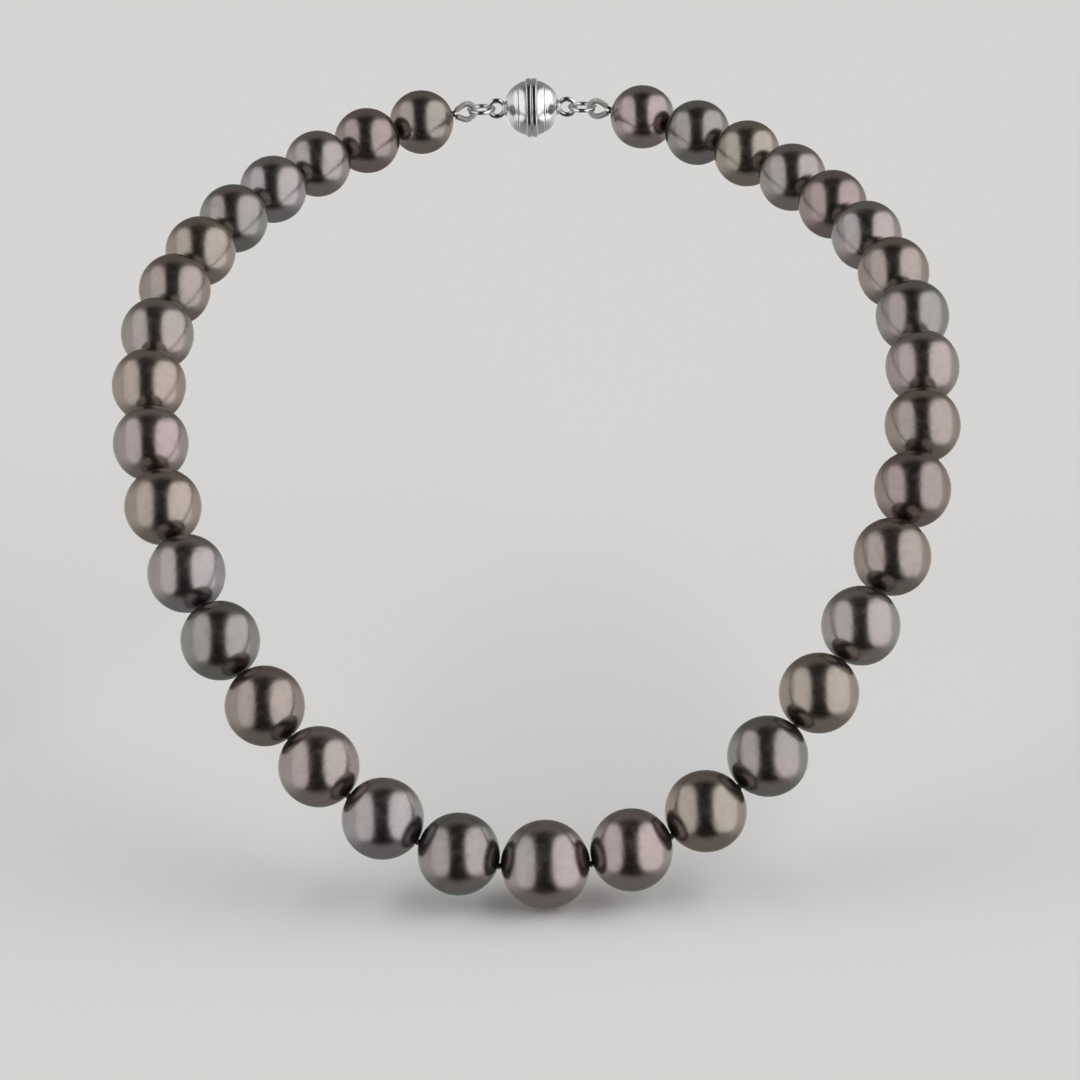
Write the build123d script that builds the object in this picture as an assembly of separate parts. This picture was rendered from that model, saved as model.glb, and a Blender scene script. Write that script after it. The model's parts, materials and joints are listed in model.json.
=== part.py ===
"""A worn strand of graduated pearls, knotted on silk, with a magnetic ball clasp at the nape.

Millimetres. The origin is the centre of the front pearl, +Z is up, -Y is the way that the
wearer faces, and +X is right as seen from in front. The two sides mirror each other.
"""
from math import asin, cos, degrees, radians, sin, sqrt
import os

from build123d import *

os.makedirs("parts", exist_ok=True)

# Pearls, by diameter. They shrink from the front pearl's neighbours to the nape.
PEARLS_A_SIDE = 17
FRONT_PEARL = 13.0
SECOND_PEARL = 12.05
LAST_PEARL = 10.3
GRADING = 1.15  # above 1, the sizes fall slowly at first

# Silk and drilling
DRILL_RADIUS = 0.45
THREAD_RADIUS = 0.39
KNOT_RADIUS = 0.55
KNOT_SEAT_RADIUS = 0.60  # the dished mouth of each drill hole, round the knot
KNOT_GAP = 0.30  # between two pearls in a straight line

# How the strand lies, in degrees and mm along it. Its turn is 0 across the front and 180
# across the nape, made of three even bends. Its slope is that of the plane it runs in.
FRONT_TURN = 41.3
FRONT_REACH = 29.5
SIDE_TURN = 100.0
CHEST_SLOPE = 56.3
NAPE_SLOPE = 11.6
SLOPE_EASES_FROM = 41.7  # turn at which the strand leaves the chest's slope
SLOPE_EASES_TO = 123.0

# Bullion loop: a tube of fine coiled wire that guards the silk where it holds the jump ring
BULLION_LENGTH = 4.0  # last knot to the middle of the loop's tip
BULLION_TIP_RADIUS = 1.3
BULLION_RADIUS = 0.50
BULLION_BORE = 0.36
LOOP_THREAD_RADIUS = 0.30
BULLION_START = 1.05  # from the last knot

# Jump ring and the clasp's eye
RING_RADIUS = 2.05
RING_WIRE = 0.35
EYE_RADIUS = 1.3
EYE_WIRE = 0.40
LINK_PLAY = 0.06

# Ball clasp
BALL_RADIUS = 4.5
BAND_RADIUS = 4.75
BAND_WIDTH = 0.80
BAND_CHAMFER = 0.2
EYE_SINK = 0.10
FACE_CLEARANCE = 0.025  # from the middle plane to each face
POCKET_RADIUS = 3.03
POCKET_DEPTH = 2.70
MAGNET_RADIUS = 3.0
MAGNET_BACK = 2.65  # from the middle plane to each magnet's inner end
SPIGOT_TOP_RADIUS = 2.2
SPIGOT_BASE_RADIUS = 2.9
SPIGOT_HEIGHT = 0.60
RECESS_DEPTH = 0.70

# Lengths that follow from those
TIP_TO_RING_CENTRE = RING_RADIUS - RING_WIRE - BULLION_RADIUS - LINK_PLAY
EYE_TO_RING_CENTRE = RING_RADIUS - RING_WIRE - EYE_WIRE - LINK_PLAY
RING_LENGTH = TIP_TO_RING_CENTRE + EYE_TO_RING_CENTRE
CLASP_LENGTH = BALL_RADIUS - EYE_SINK + 2 * EYE_RADIUS

RIGHT, LEFT = 1, -1
SIDE_NAMES = {RIGHT: "right", LEFT: "left"}


def pearl_diameters():
    """Diameters from the front pearl to the last one of a side."""
    last = PEARLS_A_SIDE - 1
    fall = SECOND_PEARL - LAST_PEARL
    return [FRONT_PEARL] + [SECOND_PEARL - fall * (i / last) ** GRADING for i in range(PEARLS_A_SIDE)]


def run_lengths():
    """Straight runs of one side from the middle of the front pearl to the clasp's face."""
    pearls = [diameter + KNOT_GAP for diameter in pearl_diameters()]
    return [pearls[0] / 2] + pearls[1:] + [BULLION_LENGTH, RING_LENGTH, CLASP_LENGTH]


def run_turns(lengths, side_reach):
    """Each run's turn from the front's direction, when the side bend is side_reach long."""
    total = sum(lengths)
    nape_reach = total - FRONT_REACH - side_reach
    nape_turn = 180 - FRONT_TURN - SIDE_TURN
    turns = []
    reached = 0.0
    for length in lengths:
        middle = reached + length / 2
        on_side = middle - FRONT_REACH
        on_nape = on_side - side_reach
        if on_nape > 0:
            turn = FRONT_TURN + SIDE_TURN + nape_turn * on_nape / nape_reach
        elif on_side > 0:
            turn = FRONT_TURN + SIDE_TURN * on_side / side_reach
        else:
            turn = FRONT_TURN * middle / FRONT_REACH
        turns.append(turn)
        reached += length
    return [0.0] + turns[1:-1] + [180.0]


def side_reach_that_closes(lengths):
    """Length of the side bend that brings the clasp's face to the middle plane."""
    low, high = 60.0, 175.0
    for _ in range(60):
        reach = (low + high) / 2
        turns = run_turns(lengths, reach)
        if sum(length * cos(radians(turn)) for length, turn in zip(lengths, turns)) > 0:
            high = reach
        else:
            low = reach
    return reach


def run_direction(turn):
    """Unit vector of a run on the right side."""
    eased = min(max((turn - SLOPE_EASES_FROM) / (SLOPE_EASES_TO - SLOPE_EASES_FROM), 0), 1)
    eased = eased * eased * (3 - 2 * eased)
    slope = radians(CHEST_SLOPE + (NAPE_SLOPE - CHEST_SLOPE) * eased)
    turn = radians(turn)
    return Vector(cos(turn), sin(turn) * cos(slope), sin(turn) * sin(slope))


def side_route(side):
    """Corner points and run directions of one side, from the front pearl's middle."""
    lengths = run_lengths()
    turns = run_turns(lengths, side_reach_that_closes(lengths))
    points = [Vector(0, 0, 0)]
    directions = []
    for length, turn in zip(lengths, turns):
        direction = run_direction(turn)
        direction = Vector(side * direction.X, direction.Y, direction.Z)
        directions.append(direction)
        points.append(points[-1] + direction * length)
    return points, directions


def level_across(direction):
    """Level unit vector square to a direction."""
    return Vector(0, 0, 1).cross(direction).normalized()


def upright_plane(origin, direction):
    """Plane that stands upright along a direction, which is its own X."""
    return Plane(origin=origin, x_dir=direction, z_dir=level_across(direction))


def lying_plane(origin, direction):
    """Plane that lies along a direction, which is its own X."""
    return Plane(origin=origin, x_dir=direction, z_dir=direction.cross(level_across(direction)))


def rod(start, end, radius):
    """Round rod between two points."""
    return Solid.make_cylinder(radius, (end - start).length, Plane(origin=start, z_dir=end - start))


def pearl(diameter, centre, direction):
    """Pearl drilled along a direction, with a dished seat for a knot at each mouth."""
    knot_place = diameter / 2 + KNOT_GAP / 2
    drilled = Sphere(diameter / 2) - Cylinder(DRILL_RADIUS, diameter + 1)
    for end in (-1, 1):
        drilled -= Pos(0, 0, end * knot_place) * Sphere(KNOT_SEAT_RADIUS)
    return Plane(origin=centre, z_dir=direction).location * drilled


def teardrop(start, radius):
    """Round bar bent to a teardrop in its own XY plane, its point at the origin."""
    to_centre = BULLION_LENGTH - BULLION_TIP_RADIUS
    spread = asin(BULLION_TIP_RADIUS / to_centre)
    leg = sqrt(to_centre ** 2 - BULLION_TIP_RADIUS ** 2)
    bend = 180 + 2 * degrees(spread)
    tip = Torus(BULLION_TIP_RADIUS, radius, major_angle=bend, align=None)
    shape = Pos(to_centre, 0, 0) * Rot(0, 0, -bend / 2) * tip
    for way in (-1, 1):
        along = Vector(cos(spread), way * sin(spread), 0)
        shape += rod(along * start, along * leg, radius)
    return shape


def bullion(knot, direction):
    """Loop of bullion that stands on the last knot."""
    loop = teardrop(BULLION_START, BULLION_RADIUS) - teardrop(0, BULLION_BORE)
    return upright_plane(knot, direction).location * loop


def jump_ring(tip, direction):
    """Soldered ring round the bullion's tip and the clasp's eye."""
    centre = tip + direction * TIP_TO_RING_CENTRE
    return lying_plane(centre, direction).location * Torus(RING_RADIUS, RING_WIRE)


def clasp_shell(face, outward):
    """Half ball with a band at its face, a pocket for its magnet and an eye at its pole."""
    half = Sphere(BALL_RADIUS) & Pos(0, 0, BALL_RADIUS / 2 + FACE_CLEARANCE) * Box(
        2 * BALL_RADIUS, 2 * BALL_RADIUS, BALL_RADIUS
    )
    band = Pos(0, 0, FACE_CLEARANCE + BAND_WIDTH / 2) * Cylinder(BAND_RADIUS, BAND_WIDTH)
    band = chamfer(band.edges(), BAND_CHAMFER)
    pocket = Pos(0, 0, POCKET_DEPTH / 2) * Cylinder(POCKET_RADIUS, POCKET_DEPTH)
    eye = Pos(0, 0, BALL_RADIUS - EYE_SINK + EYE_RADIUS) * Rot(90, 0, 0) * Torus(EYE_RADIUS, EYE_WIRE)
    shell = half + band + eye - pocket
    return Plane(origin=face, x_dir=level_across(outward).cross(outward), z_dir=outward).location * shell


def spigot_magnet(face, outward):
    """Left magnet, whose cone stands proud of the face and centres the other half."""
    body = Pos(0, 0, (MAGNET_BACK + FACE_CLEARANCE) / 2) * Cylinder(
        MAGNET_RADIUS, MAGNET_BACK - FACE_CLEARANCE
    )
    cone_height = SPIGOT_HEIGHT + FACE_CLEARANCE
    cone = Pos(0, 0, FACE_CLEARANCE - cone_height / 2) * Cone(
        SPIGOT_TOP_RADIUS, SPIGOT_BASE_RADIUS, cone_height
    )
    return Plane(origin=face, z_dir=outward).location * (body + cone)


def recessed_magnet(face, outward):
    """Right magnet, sunk in its pocket to take the other's cone."""
    height = MAGNET_BACK - RECESS_DEPTH
    body = Pos(0, 0, RECESS_DEPTH + height / 2) * Cylinder(MAGNET_RADIUS, height)
    return Plane(origin=face, z_dir=outward).location * body


def silk_knot(place, before, after):
    """Round knot, turned so that the ball's seam keeps clear of the silk on both sides."""
    bend_axis = before.cross(after)
    plane = Plane(origin=place, x_dir=bend_axis.cross(before + after), z_dir=bend_axis)
    return plane.location * Sphere(KNOT_RADIUS)


def silk_of_side(side):
    """Silk of one side from the front pearl's middle: thread, knots and the end loop."""
    points, directions = side_route(side)
    silk = Part()
    for start, end, before, after in zip(points[:-4], points[1:-3], directions, directions[1:]):
        silk += rod(start, end, THREAD_RADIUS)
        silk += silk_knot(end, before, after)
    return silk + upright_plane(points[-4], directions[-3]).location * teardrop(0, LOOP_THREAD_RADIUS)


def silk_thread():
    """The whole silk, through every pearl and both bullion loops."""
    return silk_of_side(RIGHT) + silk_of_side(LEFT)


def save(shape, name):
    """Write one node."""
    shape.label = name
    export_step(shape, f"parts/{name}.step")


def build_side(side):
    """Write the pearls and the clasp pieces of one side."""
    side_name = SIDE_NAMES[side]
    points, directions = side_route(side)
    diameters = pearl_diameters()
    for number in range(1, PEARLS_A_SIDE + 1):
        centre = (points[number] + points[number + 1]) / 2
        save(pearl(diameters[number], centre, directions[number]), f"pearl_{side_name}_{number:02d}")
    knot, tip, eye, face = points[-4:]
    outward = directions[-1] * -1
    save(bullion(knot, directions[-3]), f"bullion_{side_name}")
    save(jump_ring(tip, directions[-2]), f"jump_ring_{side_name}")
    save(clasp_shell(face, outward), f"clasp_shell_{side_name}")
    magnet = recessed_magnet if side == RIGHT else spigot_magnet
    save(magnet(face, outward), f"magnet_{side_name}")


def main():
    """Write every node and print the strand's length."""
    save(pearl(FRONT_PEARL, Vector(0, 0, 0), Vector(1, 0, 0)), "pearl_front")
    save(silk_thread(), "silk_thread")
    build_side(RIGHT)
    build_side(LEFT)
    print(f"strand with clasp {2 * sum(run_lengths()):.1f} mm")


main()
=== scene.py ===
"""Graduated strand of dark pearls, knotted on silk and closed by a magnetic ball clasp.

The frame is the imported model's: metres, +Z up, the wearer faces -Y, and +X is right as seen
from in front. Sizes in the classes below are millimetres, and meshes become metres as they
are put in place.
"""

import json
import logging
from collections.abc import Mapping, Sequence
from dataclasses import dataclass, field
from enum import Enum
from math import asin, cos, pi, radians, sin, sqrt, tau

import bmesh
import bpy
from mathutils import Matrix, Vector


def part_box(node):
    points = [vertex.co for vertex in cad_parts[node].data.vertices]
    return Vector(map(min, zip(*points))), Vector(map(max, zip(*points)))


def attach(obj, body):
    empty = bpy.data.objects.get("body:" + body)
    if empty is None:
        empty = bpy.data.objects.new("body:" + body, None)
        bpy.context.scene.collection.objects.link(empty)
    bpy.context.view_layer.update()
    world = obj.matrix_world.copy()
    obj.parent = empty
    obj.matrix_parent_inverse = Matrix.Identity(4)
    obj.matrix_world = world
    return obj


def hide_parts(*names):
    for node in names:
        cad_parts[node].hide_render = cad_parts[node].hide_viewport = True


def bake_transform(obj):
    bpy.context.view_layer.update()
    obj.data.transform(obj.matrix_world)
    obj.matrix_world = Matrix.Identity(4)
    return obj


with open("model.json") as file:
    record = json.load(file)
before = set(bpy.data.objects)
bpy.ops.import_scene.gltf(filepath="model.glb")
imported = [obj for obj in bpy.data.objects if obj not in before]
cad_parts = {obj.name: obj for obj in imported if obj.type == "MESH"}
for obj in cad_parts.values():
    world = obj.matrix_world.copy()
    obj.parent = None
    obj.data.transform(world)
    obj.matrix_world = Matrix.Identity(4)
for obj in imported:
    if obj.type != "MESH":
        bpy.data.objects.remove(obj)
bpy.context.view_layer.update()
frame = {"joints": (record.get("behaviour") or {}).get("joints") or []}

LOG = logging.getLogger("necklace")
MM = 0.001
Colour = tuple[float, float, float]
Profile = list[tuple[float, float]]


# Node trees written as expressions

class Value:
    """A node's output socket that takes part in Python arithmetic."""

    def __init__(self, graph: "Graph", socket: bpy.types.NodeSocket) -> None:
        """Wrap a socket of a graph."""
        self.graph = graph
        self.socket = socket

    def out(self, name: str) -> "Value":
        """Another output of the same node."""
        return Value(self.graph, pick(self.socket.node.outputs, name))

    def __add__(self, other: "Value | float") -> "Value":
        """Sum."""
        return self.graph.math("ADD", self, other)

    def __sub__(self, other: "Value | float") -> "Value":
        """Difference."""
        return self.graph.math("SUBTRACT", self, other)

    def __rsub__(self, other: float) -> "Value":
        """Difference from a number."""
        return self.graph.math("SUBTRACT", other, self)

    def __mul__(self, other: "Value | float") -> "Value":
        """Product."""
        return self.graph.math("MULTIPLY", self, other)

    def __truediv__(self, other: "Value | float") -> "Value":
        """Quotient."""
        return self.graph.math("DIVIDE", self, other)

    def __pow__(self, other: "Value | float") -> "Value":
        """Power."""
        return self.graph.math("POWER", self, other)

    def __abs__(self) -> "Value":
        """Size without its sign."""
        return self.graph.math("ABSOLUTE", self)

    __radd__ = __add__


def pick(sockets: Sequence[bpy.types.NodeSocket], key: str | int) -> bpy.types.NodeSocket:
    """Find a socket.

    Args:
        sockets: A node's inputs or outputs.
        key: Its identifier, its name or its place.

    Returns:
        The socket.
    """
    if isinstance(key, int):
        return sockets[key]
    by_identifier = [s for s in sockets if s.identifier == key]
    return (by_identifier or [s for s in sockets if s.name == key])[0]


class Graph:
    """A node tree of a material, the world or Geometry Nodes."""

    def __init__(self, tree: bpy.types.NodeTree) -> None:
        """Work on an empty or fresh tree."""
        self.tree = tree

    def feed(self, socket: bpy.types.NodeSocket, value: object) -> None:
        """Link a value to an input socket, or set the socket to it.

        Args:
            socket: The input.
            value: A Value, or a constant of the socket's kind.
        """
        if isinstance(value, Value):
            self.tree.links.new(value.socket, socket)
        elif socket.type == "RGBA" and len(value) == 3:
            socket.default_value = (*value, 1.0)
        else:
            socket.default_value = value

    def node(self, kind: str, settings: Mapping[str, object] | None = None,
             inputs: Mapping[str | int, object] | None = None, output: str | int = 0) -> Value:
        """Add a node.

        Args:
            kind: Its type.
            settings: Its properties, set before its inputs.
            inputs: Values or links of its input sockets.
            output: The output socket to return.

        Returns:
            That output.
        """
        made = self.tree.nodes.new(kind)
        for name, setting in (settings or {}).items():
            setattr(made, name, setting)
        for key, value in (inputs or {}).items():
            self.feed(pick(made.inputs, key), value)
        return Value(self, pick(made.outputs, output))

    def math(self, operation: str, *terms: "Value | float") -> Value:
        """Add a Math node on numbers."""
        return self.node("ShaderNodeMath", {"operation": operation}, dict(enumerate(terms)))

    def vector(self, operation: str, *terms: object, output: str = "Vector") -> Value:
        """Add a Vector Math node."""
        return self.node("ShaderNodeVectorMath", {"operation": operation},
                         dict(enumerate(terms)), output)

    def step(self, value: Value, start: float, end: float, low: float = 0.0,
             high: float = 1.0) -> Value:
        """Ease from low to high while value goes from start to end."""
        return self.node("ShaderNodeMapRange", {"interpolation_type": "SMOOTHSTEP"},
                         {"Value": value, "From Min": start, "From Max": end,
                          "To Min": low, "To Max": high})

    def mix(self, factor: "Value | float", first: object, second: object) -> Value:
        """Mix two colours."""
        return self.node("ShaderNodeMix", {"data_type": "RGBA", "blend_type": "MIX"},
                         {"Factor_Float": factor, "A_Color": first, "B_Color": second},
                         "Result_Color")

    def noise(self, place: Value, scale: float, seed: "Value | float",
              detail: float) -> Value:
        """Seeded noise of 0 to 1."""
        return self.node("ShaderNodeTexNoise", {"noise_dimensions": "4D"},
                         {"Vector": place, "W": seed, "Scale": scale, "Detail": detail})


class Surface(Graph):
    """A material's tree round one Principled shader."""

    def __init__(self, name: str) -> None:
        """Start a material.

        Args:
            name: The material's name.
        """
        self.material = bpy.data.materials.new(name)
        self.material.use_nodes = True
        super().__init__(self.material.node_tree)
        self.shader = next(n for n in self.tree.nodes if n.type == "BSDF_PRINCIPLED")

    def place(self) -> Value:
        """Object coordinates in millimetres."""
        where = self.node("ShaderNodeTexCoord", output="Object")
        return self.vector("MULTIPLY", where, (1 / MM,) * 3)

    def attribute(self, name: str, output: str) -> Value:
        """A named attribute of the mesh."""
        return self.node("ShaderNodeAttribute", {"attribute_name": name}, output=output)

    def bump(self, height: Value) -> Value:
        """Normal that a height in millimetres gives."""
        return self.node("ShaderNodeBump", None,
                         {"Strength": 1.0, "Distance": MM, "Height": height})

    def finish(self, **inputs: object) -> bpy.types.Material:
        """Feed the shader's inputs.

        Args:
            inputs: Values by socket name, with _ for a space.

        Returns:
            The finished material.
        """
        for key, value in inputs.items():
            self.feed(pick(self.shader.inputs, key.replace("_", " ")), value)
        return self.material


class GrowthTree(Graph):
    """A Geometry Nodes tree with named inputs that grows one mesh from another."""

    KINDS = {float: "NodeSocketFloat", int: "NodeSocketInt"}

    def __init__(self, name: str, **sizes: float | int) -> None:
        """Start a tree.

        Args:
            name: The tree's name.
            sizes: Its number inputs with their usual values.
        """
        super().__init__(bpy.data.node_groups.new(name, "GeometryNodeTree"))
        face = self.tree.interface
        face.new_socket("Geometry", in_out="INPUT", socket_type="NodeSocketGeometry")
        for key, usual in sizes.items():
            made = face.new_socket(key, in_out="INPUT", socket_type=self.KINDS[type(usual)])
            made.default_value = usual
        face.new_socket("Material", in_out="INPUT", socket_type="NodeSocketMaterial")
        face.new_socket("Geometry", in_out="OUTPUT", socket_type="NodeSocketGeometry")
        self.entry = self.tree.nodes.new("NodeGroupInput")

    def given(self, name: str) -> Value:
        """One of the tree's own inputs."""
        return Value(self, pick(self.entry.outputs, name))

    def scaled(self, direction: Value, amount: Value) -> Value:
        """A vector that many times as long."""
        return self.node("ShaderNodeVectorMath", {"operation": "SCALE"},
                         {0: direction, "Scale": amount}, "Vector")

    def close(self, geometry: Value) -> None:
        """End the tree with smooth shading, real geometry and its material.

        Args:
            geometry: What the tree has grown.
        """
        smooth = self.node("GeometryNodeSetShadeSmooth", None, {"Geometry": geometry})
        real = self.node("GeometryNodeRealizeInstances", None, {"Geometry": smooth})
        dressed = self.node("GeometryNodeSetMaterial", None,
                            {"Geometry": real, "Material": self.given("Material")})
        self.tree.links.new(dressed.socket, self.tree.nodes.new("NodeGroupOutput").inputs[0])

    def grow(self, source: bpy.types.Mesh, material: bpy.types.Material,
             **sizes: float | int) -> bpy.types.Mesh:
        """Run the tree once.

        Args:
            source: The mesh it starts from.
            material: What dresses the result.
            sizes: Its number inputs.

        Returns:
            A plain mesh with no modifier.
        """
        host = bpy.data.objects.new("growing", source)
        bpy.context.scene.collection.objects.link(host)
        modifier = host.modifiers.new("growth", "NODES")
        modifier.node_group = self.tree
        given = {"Material": material, **sizes}
        for item in self.tree.interface.items_tree:
            if item.item_type == "SOCKET" and item.in_out == "INPUT" and item.name in given:
                modifier[item.identifier] = given[item.name]
        ready = host.evaluated_get(bpy.context.evaluated_depsgraph_get())
        grown = bpy.data.meshes.new_from_object(ready)
        bpy.data.objects.remove(host)
        return grown


# Finishes

@dataclass(frozen=True)
class NacreFinish:
    """Dark nacre: a body colour under drifts of an overtone, both with a soft metal shine.

    Depths are millimetres, and each scale is how many features there are in about 1 mm.
    """

    body: Colour
    overtone: Colour
    rim: Colour
    roughness: float = 0.235
    shine: float = 0.97
    drift_scale: float = 0.11
    drift_share: float = 0.85
    veil_scale: float = 0.9
    veil_share: float = 0.28
    veil_darkening: float = 0.80
    fleck_scale: float = 7.0
    fleck_share: float = 0.05
    band_scale: float = 0.75
    band_depth: float = 0.012
    peel_scale: float = 1.8
    peel_depth: float = 0.0007
    pit_scale: float = 0.25
    pit_depth: float = 0.022
    pit_radius: tuple[float, float] = (0.085, 0.02)
    pit_chance: tuple[float, float] = (0.86, 0.90)
    pit_roughness: float = 0.15
    coat: float = 0.18
    coat_roughness: float = 0.14
    coat_ior: float = 1.53

    def dress(self, name: str) -> bpy.types.Material:
        """Make the material.

        Args:
            name: The lustre's name.

        Returns:
            A material that reads the pearl's own "grain" and "lot" attributes.
        """
        s = Surface(name)
        grain = s.attribute("grain", "Vector")
        lot = s.attribute("lot", "Fac")
        veil = s.noise(grain, self.veil_scale, lot + 5.0, 2.0)
        height, pit = self.relief(s, grain, lot)
        rough = s.step(veil, 0.3, 0.7, self.roughness - 0.03, self.roughness + 0.05)
        return s.finish(Base_Color=self.colour(s, grain, lot, veil), Metallic=self.shine,
                        Roughness=rough + pit * self.pit_roughness, Specular_Tint=self.rim,
                        Coat_Weight=self.coat, Coat_Roughness=self.coat_roughness,
                        Coat_IOR=self.coat_ior, Normal=s.bump(height))

    def colour(self, s: Surface, grain: Value, lot: Value, veil: Value) -> Value:
        """Mix drifts of the overtone, darker veils and flecks of the rim colour into the body.

        Args:
            s: The material's tree.
            grain: Places in the pearl.
            lot: The pearl's seed.
            veil: Noise that darkens the nacre.

        Returns:
            The base colour.
        """
        drift = s.step(s.noise(grain, self.drift_scale, lot, 1.0), 0.34, 0.66)
        fleck = s.step(s.noise(grain, self.fleck_scale, lot, 2.0), 0.5, 0.8)
        dark = tuple(self.veil_darkening * c for c in self.body)
        mixed = s.mix(drift * self.drift_share, self.body, self.overtone)
        mixed = s.mix(s.step(veil, 0.45, 0.75) * self.veil_share, mixed, dark)
        return s.mix(fleck * self.fleck_share, mixed, self.rim)

    def relief(self, s: Surface, grain: Value, lot: Value) -> tuple[Value, Value]:
        """Shape the skin's growth bands, its fine peel and its few pits.

        Args:
            s: The material's tree.
            grain: Places in the pearl.
            lot: The pearl's seed.

        Returns:
            Its height, in millimetres, and 1 in the pits.
        """
        along = s.node("ShaderNodeSeparateXYZ", None, {0: grain}, "Z")
        rings = s.node("ShaderNodeCombineXYZ", None, {"Z": along})
        bands = s.noise(rings, self.band_scale, lot, 1.0)
        peel = s.noise(grain, self.peel_scale, lot + 9.0, 1.0)
        cells = s.node("ShaderNodeTexVoronoi", {"voronoi_dimensions": "4D"},
                       {"Vector": grain, "W": lot, "Scale": self.pit_scale, "Randomness": 1.0})
        chosen = s.node("ShaderNodeSeparateColor", None, {0: cells.out("Color")}, "Red")
        pit = s.step(cells, *self.pit_radius) * s.step(chosen, *self.pit_chance)
        return bands * self.band_depth + peel * self.peel_depth - pit * self.pit_depth, pit


class Lustre(Enum):
    """The strand's seven kinds of nacre."""

    PEWTER = NacreFinish((0.208, 0.191, 0.183), (0.236, 0.199, 0.198), (0.56, 0.55, 0.51))
    AUBERGINE = NacreFinish((0.188, 0.158, 0.152), (0.215, 0.168, 0.162), (0.54, 0.49, 0.46))
    OLIVE = NacreFinish((0.214, 0.189, 0.163), (0.242, 0.197, 0.175), (0.57, 0.54, 0.49))
    SEA_GREY = NacreFinish((0.180, 0.171, 0.163), (0.217, 0.181, 0.177), (0.49, 0.58, 0.55))
    BRONZE = NacreFinish((0.188, 0.172, 0.154), (0.225, 0.182, 0.170), (0.55, 0.50, 0.44))
    ROSE = NacreFinish((0.243, 0.195, 0.197), (0.214, 0.192, 0.176), (0.51, 0.56, 0.50))
    LILAC = NacreFinish((0.221, 0.203, 0.207), (0.238, 0.201, 0.198), (0.52, 0.57, 0.54))


@dataclass(frozen=True)
class MetalFinish:
    """Polished or brushed metal with handling marks, whose depths are millimetres."""

    colour: Colour
    roughness: float
    wear: float
    smear_scale: float = 0.8
    smear_depth: float = 0.004
    dulling: float = 0.72
    hair_stretch: tuple[float, float, float] = (2.0, 2.0, 26.0)
    hair_depth: float = 0.0006
    hair_roughness: float = 0.05

    def dress(self, name: str) -> bpy.types.Material:
        """Make the material.

        Args:
            name: The metal's name.

        Returns:
            A material that reads Object coordinates.
        """
        s = Surface(name)
        place = s.place()
        smear = s.noise(place, self.smear_scale, 1.0, 4.0)
        hairs = s.noise(s.vector("MULTIPLY", place, self.hair_stretch), 1.0, 3.0, 3.0)
        dull = tuple(self.dulling * c for c in self.colour)
        colour = s.mix(s.step(smear, 0.5, 0.75) * self.wear, self.colour, dull)
        rough = s.step(smear, 0.3, 0.7, self.roughness, self.roughness * (1 + self.wear))
        relief = smear * self.smear_depth + hairs * self.hair_depth
        return s.finish(Base_Color=colour, Metallic=1.0, Normal=s.bump(relief),
                        Roughness=rough + hairs * self.hair_roughness)


@dataclass(frozen=True)
class SilkFinish:
    """Twisted silk, dyed to the pearls."""

    colour: Colour = (0.040, 0.034, 0.031)
    light: Colour = (0.105, 0.090, 0.080)
    light_share: float = 0.7
    fibre_scale: float = 14.0
    fibre_depth: float = 0.02
    slub_scale: float = 1.5
    roughness: tuple[float, float] = (0.50, 0.72)
    sheen: float = 0.35
    sheen_roughness: float = 0.4

    def dress(self, name: str) -> bpy.types.Material:
        """Make the material.

        Args:
            name: The silk's name.

        Returns:
            A material that reads Object coordinates.
        """
        s = Surface(name)
        place = s.place()
        fibre = s.noise(place, self.fibre_scale, 2.0, 3.0)
        slub = s.noise(place, self.slub_scale, 4.0, 2.0)
        colour = s.mix(s.step(fibre, 0.45, 0.75) * self.light_share, self.colour, self.light)
        rough = s.step(slub, 0.3, 0.7, *self.roughness)
        return s.finish(Base_Color=colour, Roughness=rough, Sheen_Weight=self.sheen,
                        Sheen_Roughness=self.sheen_roughness,
                        Normal=s.bump(fibre * self.fibre_depth))


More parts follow.
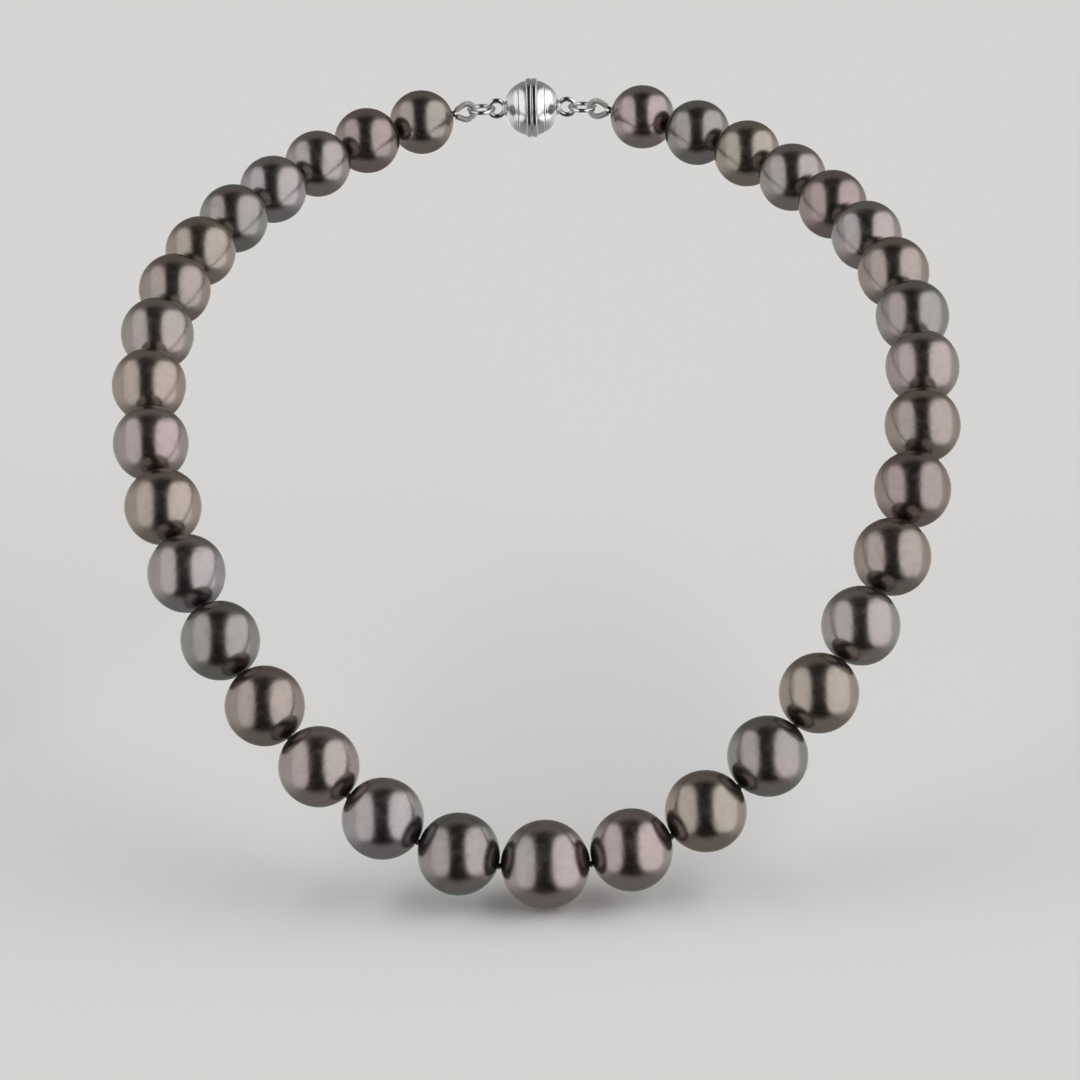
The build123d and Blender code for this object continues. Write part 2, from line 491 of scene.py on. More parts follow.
class Workshop:
    """The finishes and growth trees that the pieces share."""

    def __init__(self) -> None:
        """Make every material and tree once."""
        self.nacre = {kind: kind.value.dress("nacre_" + kind.name.lower()) for kind in Lustre}
        self.silver = MetalFinish((0.50, 0.50, 0.505), 0.16, 0.5).dress("polished_silver")
        self.wire = MetalFinish((0.52, 0.51, 0.50), 0.24, 0.4).dress("bullion_wire")
        self.nickel = MetalFinish((0.42, 0.41, 0.40), 0.28, 0.5).dress("nickel_plate")
        self.silk = SilkFinish().dress("pearl_silk")
        self.skin = self.skin_tree()
        self.laid = self.laid_tree()
        self.milgrain = self.milgrain_tree()

    @staticmethod
    def skin_tree() -> GrowthTree:
        """Make the tree that turns a true ball of nacre slightly off-round.

        Returns:
            A tree that also stores the pearl's own places as "grain" and its seed as "lot".
        """
        t = GrowthTree("pearl_skin", Radius=6.0, Swell=0.05, Bands=0.01, Lot=0.0)
        here = t.node("GeometryNodeInputPosition")
        grain = t.node("GeometryNodeStoreNamedAttribute", {"data_type": "FLOAT_VECTOR"},
                       {"Geometry": t.given("Geometry"), "Name": "grain", "Value": here})
        seeded = t.node("GeometryNodeStoreNamedAttribute", {"data_type": "FLOAT"},
                        {"Geometry": grain, "Name": "lot", "Value": t.given("Lot")})
        outward = t.vector("NORMALIZE", here)
        along = t.node("ShaderNodeSeparateXYZ", None, {0: here}, "Z") / t.given("Radius")
        aside = t.vector("LENGTH", t.vector("MULTIPLY", here, (1.0, 1.0, 0.0)), output="Value")
        rings = t.node("ShaderNodeCombineXYZ", None, {"Z": along})
        swell = (t.noise(outward, 0.8, t.given("Lot"), 0.0) - 0.5) * t.given("Swell") * 4.0
        bands = (t.noise(rings, 6.0, t.given("Lot"), 2.0) - 0.5) * t.given("Bands") * 2.0
        amount = (swell + bands) * t.step(aside, 0.9, 2.6)
        t.close(t.node("GeometryNodeSetPosition", None,
                       {"Geometry": seeded, "Offset": t.scaled(outward, amount)}))
        return t

    @staticmethod
    def laid_tree() -> GrowthTree:
        """Make the tree that winds strands round a path.

        Returns:
            A tree that makes a thread with two strands, and a wire coil with one.
        """
        t = GrowthTree("laid_strands", Step=0.1, Strands=2, Strand=0.17, Lay=0.16, Pitch=1.4,
                       Sides=8)
        line = t.node("GeometryNodeMeshToCurve", None, {"Mesh": t.given("Geometry")})
        even = t.node("GeometryNodeResampleCurve", {"mode": "LENGTH"},
                      {"Curve": line, "Length": t.given("Step")})
        many = t.node("GeometryNodeDuplicateElements", {"domain": "SPLINE"},
                      {"Geometry": even, "Amount": t.given("Strands")})
        share = many.out("Duplicate Index") / t.given("Strands")
        run = t.node("GeometryNodeSplineParameter", None, None, "Length")
        turn = (run / t.given("Pitch") + share) * tau
        normal = t.node("GeometryNodeInputNormal")
        across = t.vector("CROSS_PRODUCT", t.node("GeometryNodeInputTangent"), normal)
        offset = t.vector("ADD", t.scaled(normal, t.math("COSINE", turn)),
                          t.scaled(across, t.math("SINE", turn)))
        wound = t.node("GeometryNodeSetPosition", None,
                       {"Geometry": many, "Offset": t.scaled(offset, t.given("Lay"))})
        ring = t.node("GeometryNodeCurvePrimitiveCircle", {"mode": "RADIUS"},
                      {"Resolution": t.given("Sides"), "Radius": t.given("Strand")})
        t.close(t.node("GeometryNodeCurveToMesh", None,
                       {"Curve": wound, "Profile Curve": ring, "Fill Caps": True}))
        return t

    @staticmethod
    def milgrain_tree() -> GrowthTree:
        """Make the tree that sets a bead on every point.

        Returns:
            A tree for milgrain edges.
        """
        t = GrowthTree("milgrain", Bead=0.12)
        bead = t.node("GeometryNodeMeshUVSphere", None,
                      {"Segments": 8, "Rings": 6, "Radius": t.given("Bead")})
        t.close(t.node("GeometryNodeInstanceOnPoints", None,
                       {"Points": t.given("Geometry"), "Instance": bead}))
        return t


# Shapes in millimetres

def mesh_of(name: str, points: Sequence[Sequence[float]], edges: Sequence[Sequence[int]] = (),
            faces: Sequence[Sequence[int]] = ()) -> bpy.types.Mesh:
    """Make a mesh.

    Args:
        name: Its name.
        points: Places.
        edges: Pairs of points.
        faces: Loops of points.

    Returns:
        The mesh.
    """
    made = bpy.data.meshes.new(name)
    made.from_pydata([tuple(p) for p in points], list(edges), list(faces))
    return made


def polylines(*lines: Sequence[Vector]) -> bpy.types.Mesh:
    """Make a mesh of open lines.

    Args:
        lines: Each line's points.

    Returns:
        A mesh of edges alone.
    """
    points = [p for line in lines for p in line]
    edges, first = [], 0
    for line in lines:
        edges += [(first + i, first + i + 1) for i in range(len(line) - 1)]
        first += len(line)
    return mesh_of("path", points, edges)


def lathe(profile: Profile, segments: int, closed: bool = False) -> bpy.types.Mesh:
    """Turn a profile about Z.

    Args:
        profile: (radius, height) points. An open profile starts and ends on the axis.
        segments: Steps round the axis.
        closed: Whether the last point joins the first, round a bore.

    Returns:
        A closed mesh whose faces point outwards.
    """
    points: list[tuple[float, float, float]] = []
    rows: list[list[int]] = []
    for radius, height in profile:
        count = segments if radius > 0 else 1
        rows.append(list(range(len(points), len(points) + count)))
        points += [(radius * cos(tau * i / segments), radius * sin(tau * i / segments), height)
                   for i in range(count)]
    faces = []
    for low, high in zip(rows, rows[1:] + (rows[:1] if closed else [])):
        for i in range(segments):
            j = (i + 1) % segments
            ring = [low[i % len(low)], low[j % len(low)], high[j % len(high)], high[i % len(high)]]
            faces.append(tuple(dict.fromkeys(ring)))
    made = mesh_of("turned", points, (), faces)
    work = bmesh.new()
    work.from_mesh(made)
    bmesh.ops.recalc_face_normals(work, faces=work.faces)
    work.to_mesh(made)
    work.free()
    return made


def merged(*meshes: bpy.types.Mesh) -> bpy.types.Mesh:
    """Join meshes.

    Args:
        meshes: The meshes.

    Returns:
        One mesh, with the first one's materials.
    """
    work = bmesh.new()
    for part in meshes:
        work.from_mesh(part)
    made = meshes[0].copy()
    work.to_mesh(made)
    work.free()
    return made


def arc(centre: tuple[float, float], radius: float, start: float, end: float,
        steps: int) -> Profile:
    """Points of an arc, whose angles in radians run from +radius towards +height."""
    return [(centre[0] + radius * cos(start + (end - start) * i / steps),
             centre[1] + radius * sin(start + (end - start) * i / steps))
            for i in range(steps + 1)]


def placing(origin: Vector, along: Vector, spin: float = 0.0) -> Matrix:
    """Matrix that puts a millimetre mesh at an origin in metres, spun about its own Z."""
    turn = along.to_track_quat("Z", "Y").to_matrix().to_4x4()
    return Matrix.Translation(origin) @ turn @ Matrix.Rotation(spin, 4, "Z") @ Matrix.Scale(MM, 4)


def level_across(direction: Vector) -> Vector:
    """Level unit vector square to a direction."""
    return Vector((0, 0, 1)).cross(direction).normalized()


def axes_at(origin: Vector, x: Vector, z: Vector) -> Matrix:
    """Matrix that puts a millimetre mesh at an origin in metres, by its X and its Z."""
    turn = Matrix((x, z.cross(x), z)).transposed().to_4x4()
    return Matrix.Translation(origin) @ turn @ Matrix.Scale(MM, 4)


def piece(name: str, mesh: bpy.types.Mesh, material: bpy.types.Material,
          place: Matrix | None = None, crease: float | None = None) -> bpy.types.Object:
    """Make an object at the origin with its place in its mesh.

    Args:
        name: The piece's name.
        mesh: Its mesh.
        material: What dresses it.
        place: Matrix that puts the mesh in the frame.
        crease: Angle in degrees past which an edge is sharp, or None for all smooth.

    Returns:
        The object.
    """
    if place is not None:
        mesh.transform(place)
    mesh.materials.clear()
    mesh.materials.append(material)
    mesh.shade_smooth()
    if crease is not None:
        mesh.set_sharp_from_angle(angle=radians(crease))
    made = bpy.data.objects.new(name, mesh)
    bpy.context.scene.collection.objects.link(made)
    return made


# Sub-assemblies

class Side(Enum):
    """The strand's two sides, as seen from in front."""

    RIGHT = "right"
    LEFT = "left"


@dataclass
class Pearl:
    """One drilled pearl, with a dished seat for a knot at each mouth."""

    node: str
    centre: Vector
    axis: Vector
    radius: float
    lustre: Lustre
    lot: float
    bore: float = 0.45
    seat: float = 0.60
    knot_gap: float = 0.30
    rim: float = 0.06
    mouth_ease: float = 0.05
    bore_start: float = 0.3
    swell: tuple[float, float] = (0.035, 0.055)
    bands: tuple[float, float] = (0.006, 0.018)
    rings: int = 72
    segments: int = 96

    def profile(self) -> Profile:
        """Draw the skin from mouth to mouth, each mouth's rounded rim, its seat and the bore.

        Returns:
            (radius, height) points, closed round the bore.
        """
        knot = self.radius + self.knot_gap / 2
        edge = (self.radius ** 2 - self.seat ** 2 + knot ** 2) / (2 * knot)
        out = sqrt(self.radius ** 2 - edge ** 2)
        mouth = asin(out / self.radius) + self.rim / self.radius
        skin = arc((0, 0), self.radius, mouth - pi / 2, pi / 2 - mouth, self.rings)
        deep = knot - sqrt(self.seat ** 2 - self.bore ** 2)
        ease = self.mouth_ease
        upper = [(out + 0.35 * self.rim, edge - 0.4 * ease), (out, edge - ease),
                 ((out + self.bore) / 2, (edge + deep) / 2 - 0.6 * ease),
                 (self.bore, deep), (self.bore, deep - self.bore_start)]
        lower = [(r, -h) for r, h in reversed(upper)]
        return skin + upper + [(self.bore, 0.0)] + lower

    def build(self, shop: Workshop) -> bpy.types.Object:
        """Turn, grow and place the pearl.

        Args:
            shop: The shared trees and finishes.

        Returns:
            Its piece.
        """
        swell, bands = self.swell, self.bands
        skin = shop.skin.grow(
            lathe(self.profile(), self.segments, closed=True), shop.nacre[self.lustre],
            Radius=self.radius, Lot=self.lot,
            Swell=swell[0] + (swell[1] - swell[0]) * sin(self.lot * 1.7) ** 2,
            Bands=bands[0] + (bands[1] - bands[0]) * sin(self.lot * 0.9) ** 4)
        made = piece(self.node.replace("pearl", "nacre"), skin, shop.nacre[self.lustre],
                     placing(self.centre, self.axis, self.lot))
        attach(made, self.node)
        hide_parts(self.node)
        return made


@dataclass
class Silk:
    """Two-strand silk with an overhand knot, from one pearl's middle to the next one's."""

    strand: float = 0.17
    lay: float = 0.16
    pitch: float = 1.5
    step: float = 0.12
    knot_strand: float = 0.105
    knot_lay: float = 0.09
    knot_pitch: float = 0.9
    knot_step: float = 0.07
    knot_size: float = 0.55
    knot_points: int = 48
    sides: int = 8

    def knot(self, place: Vector, along: Vector) -> list[Vector]:
        """Draw the centre line of a drawn-up overhand knot.

        Args:
            place: Its middle, in metres.
            along: The thread's direction.

        Returns:
            Its points, in metres.
        """
        scale = (self.knot_size - self.knot_strand - self.knot_lay) / 3
        turn = placing(place, along)
        around = [tau * i / self.knot_points for i in range(self.knot_points + 1)]
        return [turn @ Vector((scale * (sin(a) + 2 * sin(2 * a)),
                               scale * (cos(a) - 2 * cos(2 * a)),
                               -scale * 1.1 * sin(3 * a))) for a in around]

    def mesh(self, shop: Workshop, route: Sequence[Vector], knot: Sequence[Vector],
             slim: float = 1.0) -> bpy.types.Mesh:
        """Lay the thread along a route and its knot.

        Args:
            shop: The shared trees and finishes.
            route: The thread's points, in metres.
            knot: The knot's centre line, in metres.
            slim: The thread's thickness as a share of its usual one.

        Returns:
            One mesh in metres.
        """
        thread = shop.laid.grow(polylines(route), shop.silk, Step=self.step * MM, Strands=2,
                                Strand=self.strand * slim * MM, Lay=self.lay * slim * MM,
                                Pitch=self.pitch * MM, Sides=self.sides)
        drawn = shop.laid.grow(polylines(knot), shop.silk, Step=self.knot_step * MM, Strands=2,
                               Strand=self.knot_strand * MM, Lay=self.knot_lay * MM,
                               Pitch=self.knot_pitch * MM, Sides=self.sides)
        return merged(thread, drawn)


@dataclass
class BullionLoop:
    """Fine coiled wire that guards the silk where it holds the jump ring."""

    length: float = 4.0
    tip: float = 1.3
    start: float = 1.05
    coil: float = 0.428
    wire: float = 0.070
    pitch: float = 0.146
    steps_a_turn: int = 16
    leg_steps: int = 12
    bend_steps: int = 40

    def teardrop(self, start: float) -> list[Vector]:
        """Draw the centre line of the loop in its own XY plane, with its point at 0.

        Args:
            start: How far from the point it starts and ends, in millimetres.

        Returns:
            Its points, in millimetres.
        """
        middle = self.length - self.tip
        spread = asin(self.tip / middle)
        leg = sqrt(middle ** 2 - self.tip ** 2)
        sweep = pi + 2 * spread
        bend = [-sweep / 2 + sweep * i / self.bend_steps for i in range(self.bend_steps + 1)]
        out = Vector((cos(spread), -sin(spread), 0))
        back = Vector((cos(spread), sin(spread), 0))
        legs = [start + (leg - start) * i / self.leg_steps for i in range(self.leg_steps)]
        return ([out * s for s in legs]
                + [Vector((middle + self.tip * cos(a), self.tip * sin(a), 0)) for a in bend]
                + [back * s for s in reversed(legs)])

    def mesh(self, shop: Workshop, knot: Vector, along: Vector) -> bpy.types.Mesh:
        """Wind the wire round the loop that stands on a knot.

        Args:
            shop: The shared trees and finishes.
            knot: The knot's middle, in metres.
            along: Direction from the knot to the loop's tip.

        Returns:
            One mesh in metres.
        """
        stand = axes_at(knot, along, level_across(along))
        line = [stand @ p for p in self.teardrop(self.start)]
        return shop.laid.grow(polylines(line), shop.wire, Strands=1, Sides=6,
                              Step=self.pitch / self.steps_a_turn * MM,
                              Strand=self.wire * MM, Lay=self.coil * MM, Pitch=self.pitch * MM)


@dataclass
class JumpRing:
    """Soldered wire ring."""

    radius: float = 2.05
    wire: float = 0.35
    solder: float = 0.018
    solder_focus: int = 60
    around: int = 96
    sides: int = 24

    def mesh(self) -> bpy.types.Mesh:
        """Bend the wire round in the XY plane.

        Returns:
            A closed mesh with a faint swelling where it is soldered.
        """
        points, faces = [], []
        for i in range(self.around):
            a = tau * i / self.around
            swell = self.solder * max(0.0, cos(a - pi / 2)) ** self.solder_focus
            for j in range(self.sides):
                b = tau * j / self.sides
                thick = self.wire - self.solder + swell
                out = self.radius + thick * cos(b)
                points.append((out * cos(a), out * sin(a), thick * sin(b)))
                i2, j2 = (i + 1) % self.around, (j + 1) % self.sides
                faces.append((i * self.sides + j, i2 * self.sides + j,
                              i2 * self.sides + j2, i * self.sides + j2))
        return mesh_of("ring", points, (), faces)


@dataclass
class BallClasp:
    """Magnetic ball clasp: two half balls, each with a band, beading, an eye and a magnet."""

    ball: float = 4.5
    band: float = 4.75
    band_width: float = 0.80
    bevel: float = 0.2
    clearance: float = 0.025
    pocket: float = 3.03
    pocket_depth: float = 2.70
    eye_radius: float = 1.3
    eye_wire: float = 0.40
    eye_sink: float = 0.10
    magnet: float = 3.0
    magnet_back: float = 2.65
    cone_top: float = 2.2
    cone_base: float = 2.9
    cone_height: float = 0.60
    recess: float = 0.70
    soft: float = 0.06
    line_angles: tuple[float, float] = (28.0, 33.0)
    line_width: float = 1.3
    line_depth: float = 0.05
    collar: float = 1.00
    collar_sink: float = 0.16
    collar_round: float = 0.14
    beads: int = 72
    bead: float = 0.115
    dome_steps: int = 60

    def shell(self) -> bpy.types.Mesh:
        """Turn the half ball, with two turned lines and a soft-edged band.

        Returns:
            A closed mesh whose pole is on +Z.
        """
        soft, top = self.soft, self.clearance + self.band_width
        profile: Profile = [(0, self.pocket_depth), (self.pocket - soft, self.pocket_depth),
                            (self.pocket, self.pocket_depth - soft),
                            (self.pocket, self.clearance + soft),
                            (self.pocket + soft, self.clearance)]
        profile += arc((self.band - self.bevel, self.clearance + self.bevel), self.bevel,
                       -pi / 2, 0, 6)
        profile += arc((self.band - self.bevel, top - self.bevel), self.bevel, 0, pi / 2, 6)
        foot = asin((top + soft / 2) / self.ball)
        wide = radians(self.line_width)
        for i in range(self.dome_steps):
            angle = foot + (pi / 2 - foot) * i / self.dome_steps
            cut = sum(max(0.0, 1 - abs(angle - radians(at)) / wide) for at in self.line_angles)
            reach = self.ball - self.line_depth * min(1.0, cut)
            profile.append((reach * cos(angle), reach * sin(angle)))
        return lathe(profile + [(0, self.ball)], 128)

    def eye(self) -> bpy.types.Mesh:
        """Make the cast eye that stands on the half ball's pole.

        Returns:
            The eye and the collar at its foot.
        """
        ring = JumpRing(self.eye_radius, self.eye_wire, 0.0, around=72, sides=20).mesh()
        height = self.ball - self.eye_sink + self.eye_radius
        ring.transform(Matrix.Translation((0, 0, height)) @ Matrix.Rotation(pi / 2, 4, "X"))
        foot, wide, turn = self.ball - self.collar_sink, self.collar, self.collar_round
        collar = lathe([(0, foot - 0.1), (wide, foot - 0.1), (wide + 0.02, foot + 0.1)]
                       + arc((wide - turn, foot + turn), turn, 0, pi / 2, 5)
                       + [(0.62 * wide, foot + 0.34), (0, foot + 0.36)], 48)
        return merged(ring, collar)

    def beading(self, shop: Workshop) -> bpy.types.Mesh:
        """Set beads along the band's upper edge.

        Args:
            shop: The shared trees and finishes.

        Returns:
            The beads.
        """
        height = self.clearance + self.band_width + 0.02
        reach = self.band - self.bevel - self.bead * 0.4
        ring = [(reach * cos(tau * i / self.beads), reach * sin(tau * i / self.beads), height)
                for i in range(self.beads)]
        return shop.milgrain.grow(mesh_of("beads", ring), shop.silver, Bead=self.bead)

    def disc(self, side: Side) -> bpy.types.Mesh:
        """Turn a magnet.

        Args:
            side: The left one has a locating cone, and the right one is sunk to take it.

        Returns:
            A closed mesh on the clasp's face.
        """
        soft = 0.08
        if side is Side.LEFT:
            tip = [(0, -self.cone_height), (self.cone_top - soft, -self.cone_height),
                   (self.cone_top, -self.cone_height + soft),
                   (self.cone_base, self.clearance)]
            low = self.clearance
        else:
            tip = [(0, self.recess)]
            low = self.recess
        body = [(self.magnet - soft, low), (self.magnet, low + soft),
                (self.magnet, self.magnet_back - soft),
                (self.magnet - soft, self.magnet_back), (0, self.magnet_back)]
        return lathe(tip + body, 96)


@dataclass
class Strand:
    """The whole necklace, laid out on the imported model's knots and pearls."""

    shop: Workshop
    a_side: int = 17
    knot_length: float = 1.1
    front_lot: float = 3.1
    first_lot: float = 7.3
    lot_step: float = 2.37
    side_lot: float = 51.9
    colours: dict[Side, str] = field(default_factory=lambda: {
        Side.RIGHT: "ROSE OLIVE SEA_GREY OLIVE LILAC BRONZE AUBERGINE BRONZE ROSE SEA_GREY "
                    "BRONZE LILAC AUBERGINE PEWTER OLIVE SEA_GREY ROSE",
        Side.LEFT: "SEA_GREY LILAC ROSE BRONZE SEA_GREY LILAC OLIVE ROSE OLIVE ROSE BRONZE "
                   "OLIVE SEA_GREY LILAC PEWTER AUBERGINE BRONZE"})

    def __post_init__(self) -> None:
        """Read where each joint holds its child."""
        self.hold = {j["child"]: Vector(j["pos_m"]) for j in frame["joints"]}

    @staticmethod
    def ball_of(node: str) -> tuple[Vector, float]:
        """A packed pearl's centre, in metres, and its radius, in millimetres."""
        low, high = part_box(node)
        return (low + high) / 2, max(high - low) / 2 / MM

    def nodes(self, side: Side) -> list[str]:
        """A side's pearls, from the front one on."""
        return ["pearl_front"] + [f"pearl_{side.value}_{i:02d}"
                                  for i in range(1, self.a_side + 1)]

    def pearls(self) -> list[bpy.types.Object]:
        """Build every pearl.

        Returns:
            Their pieces.
        """
        centre, radius = self.ball_of("pearl_front")
        made = [Pearl("pearl_front", centre, Vector((1, 0, 0)), radius, Lustre.PEWTER,
                      self.front_lot).build(self.shop)]
        for shift, side in enumerate(Side):
            names = self.colours[side].split()
            for i, node in enumerate(self.nodes(side)[1:]):
                centre, radius = self.ball_of(node)
                lot = self.first_lot + self.lot_step * i + self.side_lot * shift
                along = (centre - self.hold[node]).normalized()
                made.append(Pearl(node, centre, along, radius, Lustre[names[i]],
                                  lot).build(self.shop))
        return made

    def last_knot(self, side: Side) -> Vector:
        """The knot past a side's last pearl, opposite the one before it, in metres."""
        node = self.nodes(side)[-1]
        return self.ball_of(node)[0] * 2 - self.hold[node]

    def silks(self) -> list[bpy.types.Object]:
        """Build each stretch of silk with its knot.

        Returns:
            Their pieces.
        """
        silk, pieces = Silk(), []
        for side in Side:
            nodes = self.nodes(side)
            for before, after in zip(nodes, nodes[1:]):
                start, end = self.ball_of(before)[0], self.ball_of(after)[0]
                knot = self.hold[after]
                along = (end - start).normalized()
                made = piece(after.replace("pearl", "silk"),
                             silk.mesh(self.shop, [start, knot, end], silk.knot(knot, along)),
                             self.shop.silk)
                half = along * self.knot_length / 2 * MM
                knot - half
                knot + half
                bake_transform(made)
                self.file_silk(made)
                pieces.append(made)
            pieces.append(self.end_silk(side, silk))
        return pieces

    def end_silk(self, side: Side, silk: Silk) -> bpy.types.Object:
        """Build a side's last knot and the loop of silk inside its bullion.

        Args:
            side: The side.
            silk: The silk's sizes.

        Returns:
            The piece.
        """
        node = self.nodes(side)[-1]
        knot = self.last_knot(side)
        along = (self.hold[f"jump_ring_{side.value}"] - knot).normalized()
        stand = axes_at(knot, along, level_across(along))
        loop = [stand @ p for p in BullionLoop().teardrop(0.2)]
        centre = self.ball_of(node)[0]
        made = piece(f"silk_end_{side.value}",
                     merged(silk.mesh(self.shop, [centre, knot], silk.knot(knot, along)),
                            silk.mesh(self.shop, loop, silk.knot(knot, along), 0.85)),
                     self.shop.silk)
        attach(made, node)
        self.file_silk(made)
        return made

    @staticmethod
    def file_silk(made: bpy.types.Object) -> None:
        """Hide the imported model's silk thread."""
        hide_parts("silk_thread")

    def findings(self) -> list[bpy.types.Object]:
        """Build both sides' bullion, jump rings and clasp halves."""
        return [made for side in Side for made in self.link(side) + self.half_clasp(side)]

    def link(self, side: Side) -> list[bpy.types.Object]:
        """Build a side's bullion loop and jump ring.

        Args:
            side: The side.

        Returns:
            The pieces.
        """
        name = side.value
        knot, tip = self.last_knot(side), self.hold[f"jump_ring_{name}"]
        grip = self.hold[f"clasp_{name}"]
        coil = BullionLoop()
        wound = piece(f"bullion_coil_{name}",
                      coil.mesh(self.shop, knot, (tip - knot).normalized()), self.shop.wire)
        self.file(wound, self.nodes(side)[-1], f"bullion_{name}", "bullion_wire")
        low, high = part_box(f"jump_ring_{name}")
        along = (grip - tip).normalized()
        flat = axes_at((low + high) / 2, along, along.cross(level_across(along)))
        ring = piece(f"soldered_ring_{name}", JumpRing().mesh(), self.shop.silver, flat)
        self.file(ring, f"jump_ring_{name}", f"jump_ring_{name}", "silver")
        return [wound, ring]

    def half_clasp(self, side: Side) -> list[bpy.types.Object]:
        """Build a side's half ball, beading, eye and magnet.

        Args:
            side: The side.

        Returns:
            The pieces.
        """
        name = side.value
        clasp = BallClasp()
        low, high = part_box(f"clasp_shell_{name}")
        outward = Vector((1 if side is Side.RIGHT else -1, 0, 0))
        face = (low + high) / 2
        face.x = 0
        place = axes_at(face, level_across(outward).cross(outward), outward)
        shell, pieces = f"clasp_shell_{name}", []
        for label, mesh, crease in (("ball_half", clasp.shell(), 32.0),
                                    ("milgrain", clasp.beading(self.shop), None),
                                    ("eye", clasp.eye(), 40.0)):
            made = piece(f"{label}_{name}", mesh, self.shop.silver, place, crease)
            self.file(made, f"clasp_{name}", shell, "silver")
            pieces.append(made)
        made = piece(f"magnet_disc_{name}", clasp.disc(side), self.shop.nickel, place, 30.0)
        self.file(made, f"clasp_{name}", f"magnet_{name}", "magnet_plate")
        return pieces + [made]

    @staticmethod
    def file(made: bpy.types.Object, body: str, node: str, slot: str) -> None:
        """Hang a piece on its body's empty and hide the imported node that it stands for.

        Args:
            made: The piece.
            body: The body that it rides on.
            node: The node that it stands for.
            slot: Its material slot; not used.
        """
        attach(made, body)
        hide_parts(node)


# Studio

@dataclass(frozen=True)
class SoftBox:
    """A soft light panel, placed by where a front pearl mirrors it, in pearl radii."""

    across: float
    up: float
    half_width: float
    half_height: float
    radiance: float
    edge: float = 0.40
    squareness: float = 3.2

    def shine(self, g: Graph, u: Value, v: Value) -> Value:
        """Radiance at the mirror's places u across it and v up it."""
        reach = (abs((u - self.across) / self.half_width) ** self.squareness
                 + abs((v - self.up) / self.half_height) ** self.squareness)
        return g.step(reach, 1 + self.edge, 1 - self.edge, 0.0, self.radiance)


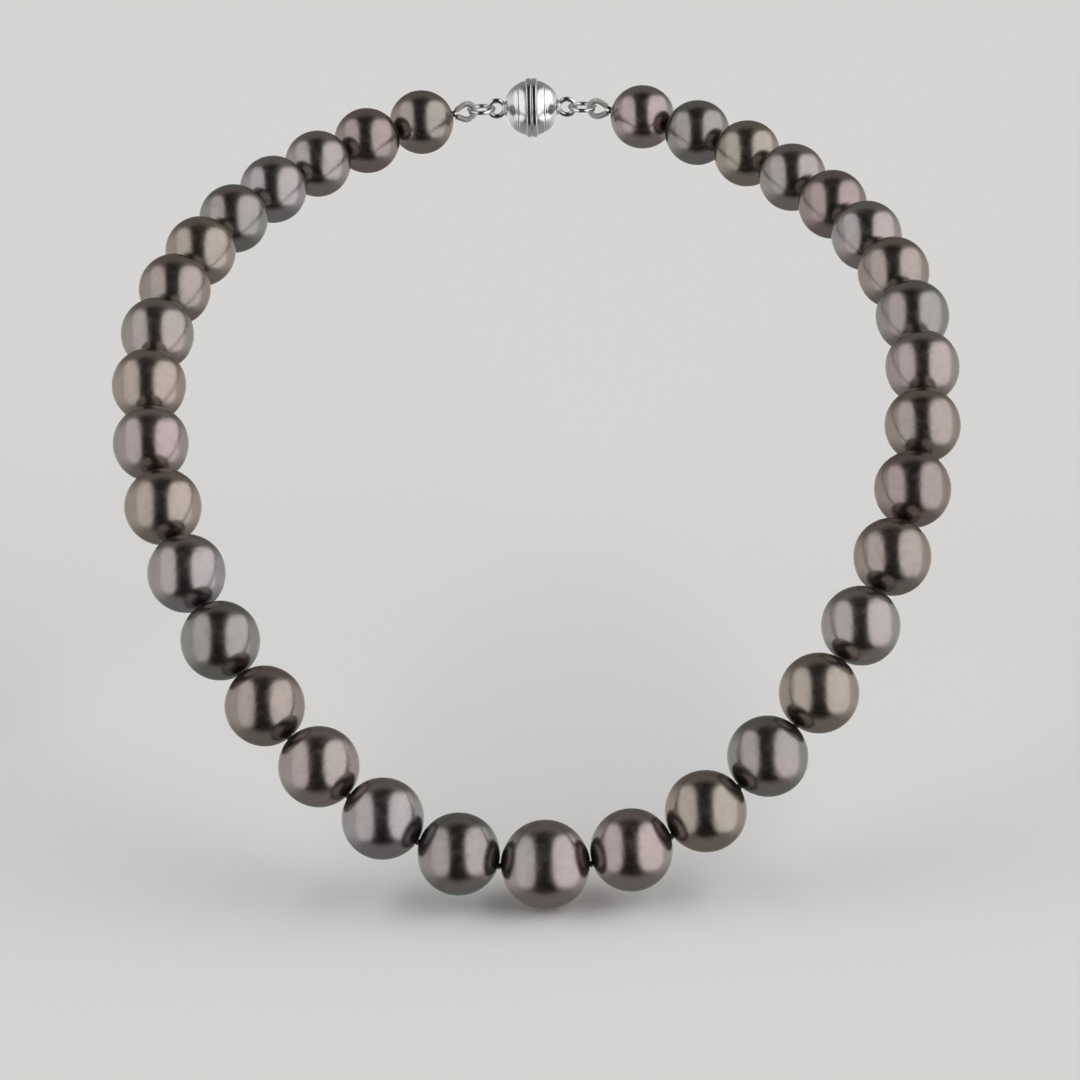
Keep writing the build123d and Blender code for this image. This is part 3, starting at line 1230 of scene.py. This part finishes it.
@dataclass
class Studio:
    """Camera, pale floor and soft light from in front.

    Angles are degrees and lengths millimetres, but the floor's reach is metres. The light's
    places are where the front pearl mirrors them, in pearl radii from its middle.
    """

    elevation: float = 20.0
    azimuth: float = -0.396
    roll: float = -1.477
    distance: float = 800.0
    aim_right: float = 0.424
    aim_up: float = 47.03
    lens: float = 184.24
    floor_reach: float = 4.0
    floor_dark: Colour = (0.70, 0.70, 0.695)
    floor_light: Colour = (0.725, 0.723, 0.718)
    floor_tooth: float = 900.0
    room: float = 0.016
    room_up: float = 0.06
    room_reach: tuple[float, float] = (0.60, 0.76)
    above: float = 0.35
    below: float = 0.46
    wings: float = 0.80
    wings_across: tuple[float, float] = (0.44, 0.64)
    wings_up: tuple[float, float] = (0.80, 0.25)
    seen: float = 0.665
    dim_tint: Colour = (1.0, 0.84, 0.70)
    bright_tint: Colour = (1.0, 0.995, 0.99)
    boxes: tuple[SoftBox, ...] = (SoftBox(-0.44, 0.07, 0.215, 0.58, 1.70),
                                  SoftBox(0.46, 0.07, 0.30, 0.58, 2.20))

    def axes(self) -> tuple[Vector, Vector, Vector]:
        """Work out the level camera's directions.

        Returns:
            Rightward, upward and backward ones.
        """
        a, e = radians(self.azimuth), radians(self.elevation)
        right = Vector((cos(a), -sin(a), 0))
        ahead = Vector((sin(a) * cos(e), cos(a) * cos(e), -sin(e)))
        return right, right.cross(ahead), -ahead

    def camera(self) -> None:
        """Make the camera and look through it."""
        right, up, back = self.axes()
        r = radians(self.roll)
        data = bpy.data.cameras.new("camera")
        data.lens = self.lens
        data.clip_start, data.clip_end = 0.01, 50.0
        made = bpy.data.objects.new("camera", data)
        turn = Matrix((right * cos(r) + up * sin(r), up * cos(r) - right * sin(r), back))
        place = (right * self.aim_right + up * self.aim_up + back * self.distance) * MM
        made.matrix_world = Matrix.Translation(place) @ turn.transposed().to_4x4()
        bpy.context.scene.collection.objects.link(made)
        bpy.context.scene.camera = made

    def floor(self) -> None:
        """Lay a plain pale floor under the front pearl."""
        s = Surface("pale_floor")
        where = s.node("ShaderNodeTexCoord", output="Object")
        tooth = s.noise(where, self.floor_tooth, 0.0, 3.0)
        colour = s.mix(tooth, self.floor_dark, self.floor_light)
        dress = s.finish(Base_Color=colour, Roughness=0.9, Specular_IOR_Level=0.1)
        reach, low = self.floor_reach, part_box("pearl_front")[0].z
        corners = [(x * reach, y * reach, low) for x, y in ((-1, -1), (1, -1), (1, 1), (-1, 1))]
        made = piece("floor", mesh_of("floor", corners, (), [(0, 1, 2, 3)]), dress)
        made.visible_glossy = False

    def light(self) -> None:
        """Light the room: two soft boxes in front, a dark room between them, pale behind."""
        world = bpy.data.worlds.new("studio")
        bpy.context.scene.world = world
        world.use_nodes = True
        world.node_tree.nodes.clear()
        g = Graph(world.node_tree)
        right, up, back = self.axes()
        ray = g.node("ShaderNodeTexCoord", output="Generated")
        x, y, z = (g.vector("DOT_PRODUCT", ray, tuple(axis), output="Value")
                   for axis in (right, up, back))
        wide = g.math("SQRT", g.math("MAXIMUM", (z + 1.0) * 2.0, 0.0001))
        u, v = x / wide, y / wide
        rise = v - self.room_up
        rim = g.math("SQRT", u * u + rise * rise)
        behind = g.step(v, -0.5, 0.5, self.below, self.above)
        sides = g.step(abs(u), *self.wings_across) * g.step(abs(v), *self.wings_up)
        glow = self.room + g.step(rim, *self.room_reach) * behind + sides * self.wings
        for box in self.boxes:
            glow = g.math("MAXIMUM", glow, box.shine(g, u, v))
        camera_ray = g.node("ShaderNodeLightPath", output="Is Camera Ray")
        level = camera_ray * self.seen + (1.0 - camera_ray) * glow
        tint = g.mix(g.step(level, 0.0, 0.5), self.dim_tint, self.bright_tint)
        sky = g.node("ShaderNodeBackground", None, {"Color": tint, "Strength": level})
        out = g.tree.nodes.new("ShaderNodeOutputWorld")
        g.tree.links.new(sky.socket, out.inputs["Surface"])
        bpy.context.scene.view_settings.view_transform = "Standard"

    def build(self) -> None:
        """Make the camera, the floor and the light."""
        self.camera()
        self.floor()
        self.light()


def main() -> None:
    """Build the studio and the necklace, and report each piece."""
    logging.basicConfig(level=logging.INFO, format="%(name)s: %(message)s")
    Studio().build()
    LOG.info("studio ready")
    strand = Strand(Workshop())
    for build in (strand.pearls, strand.silks, strand.findings):
        for made in build():
            LOG.info("%s", made.name)


if __name__ == "__main__":
    main()
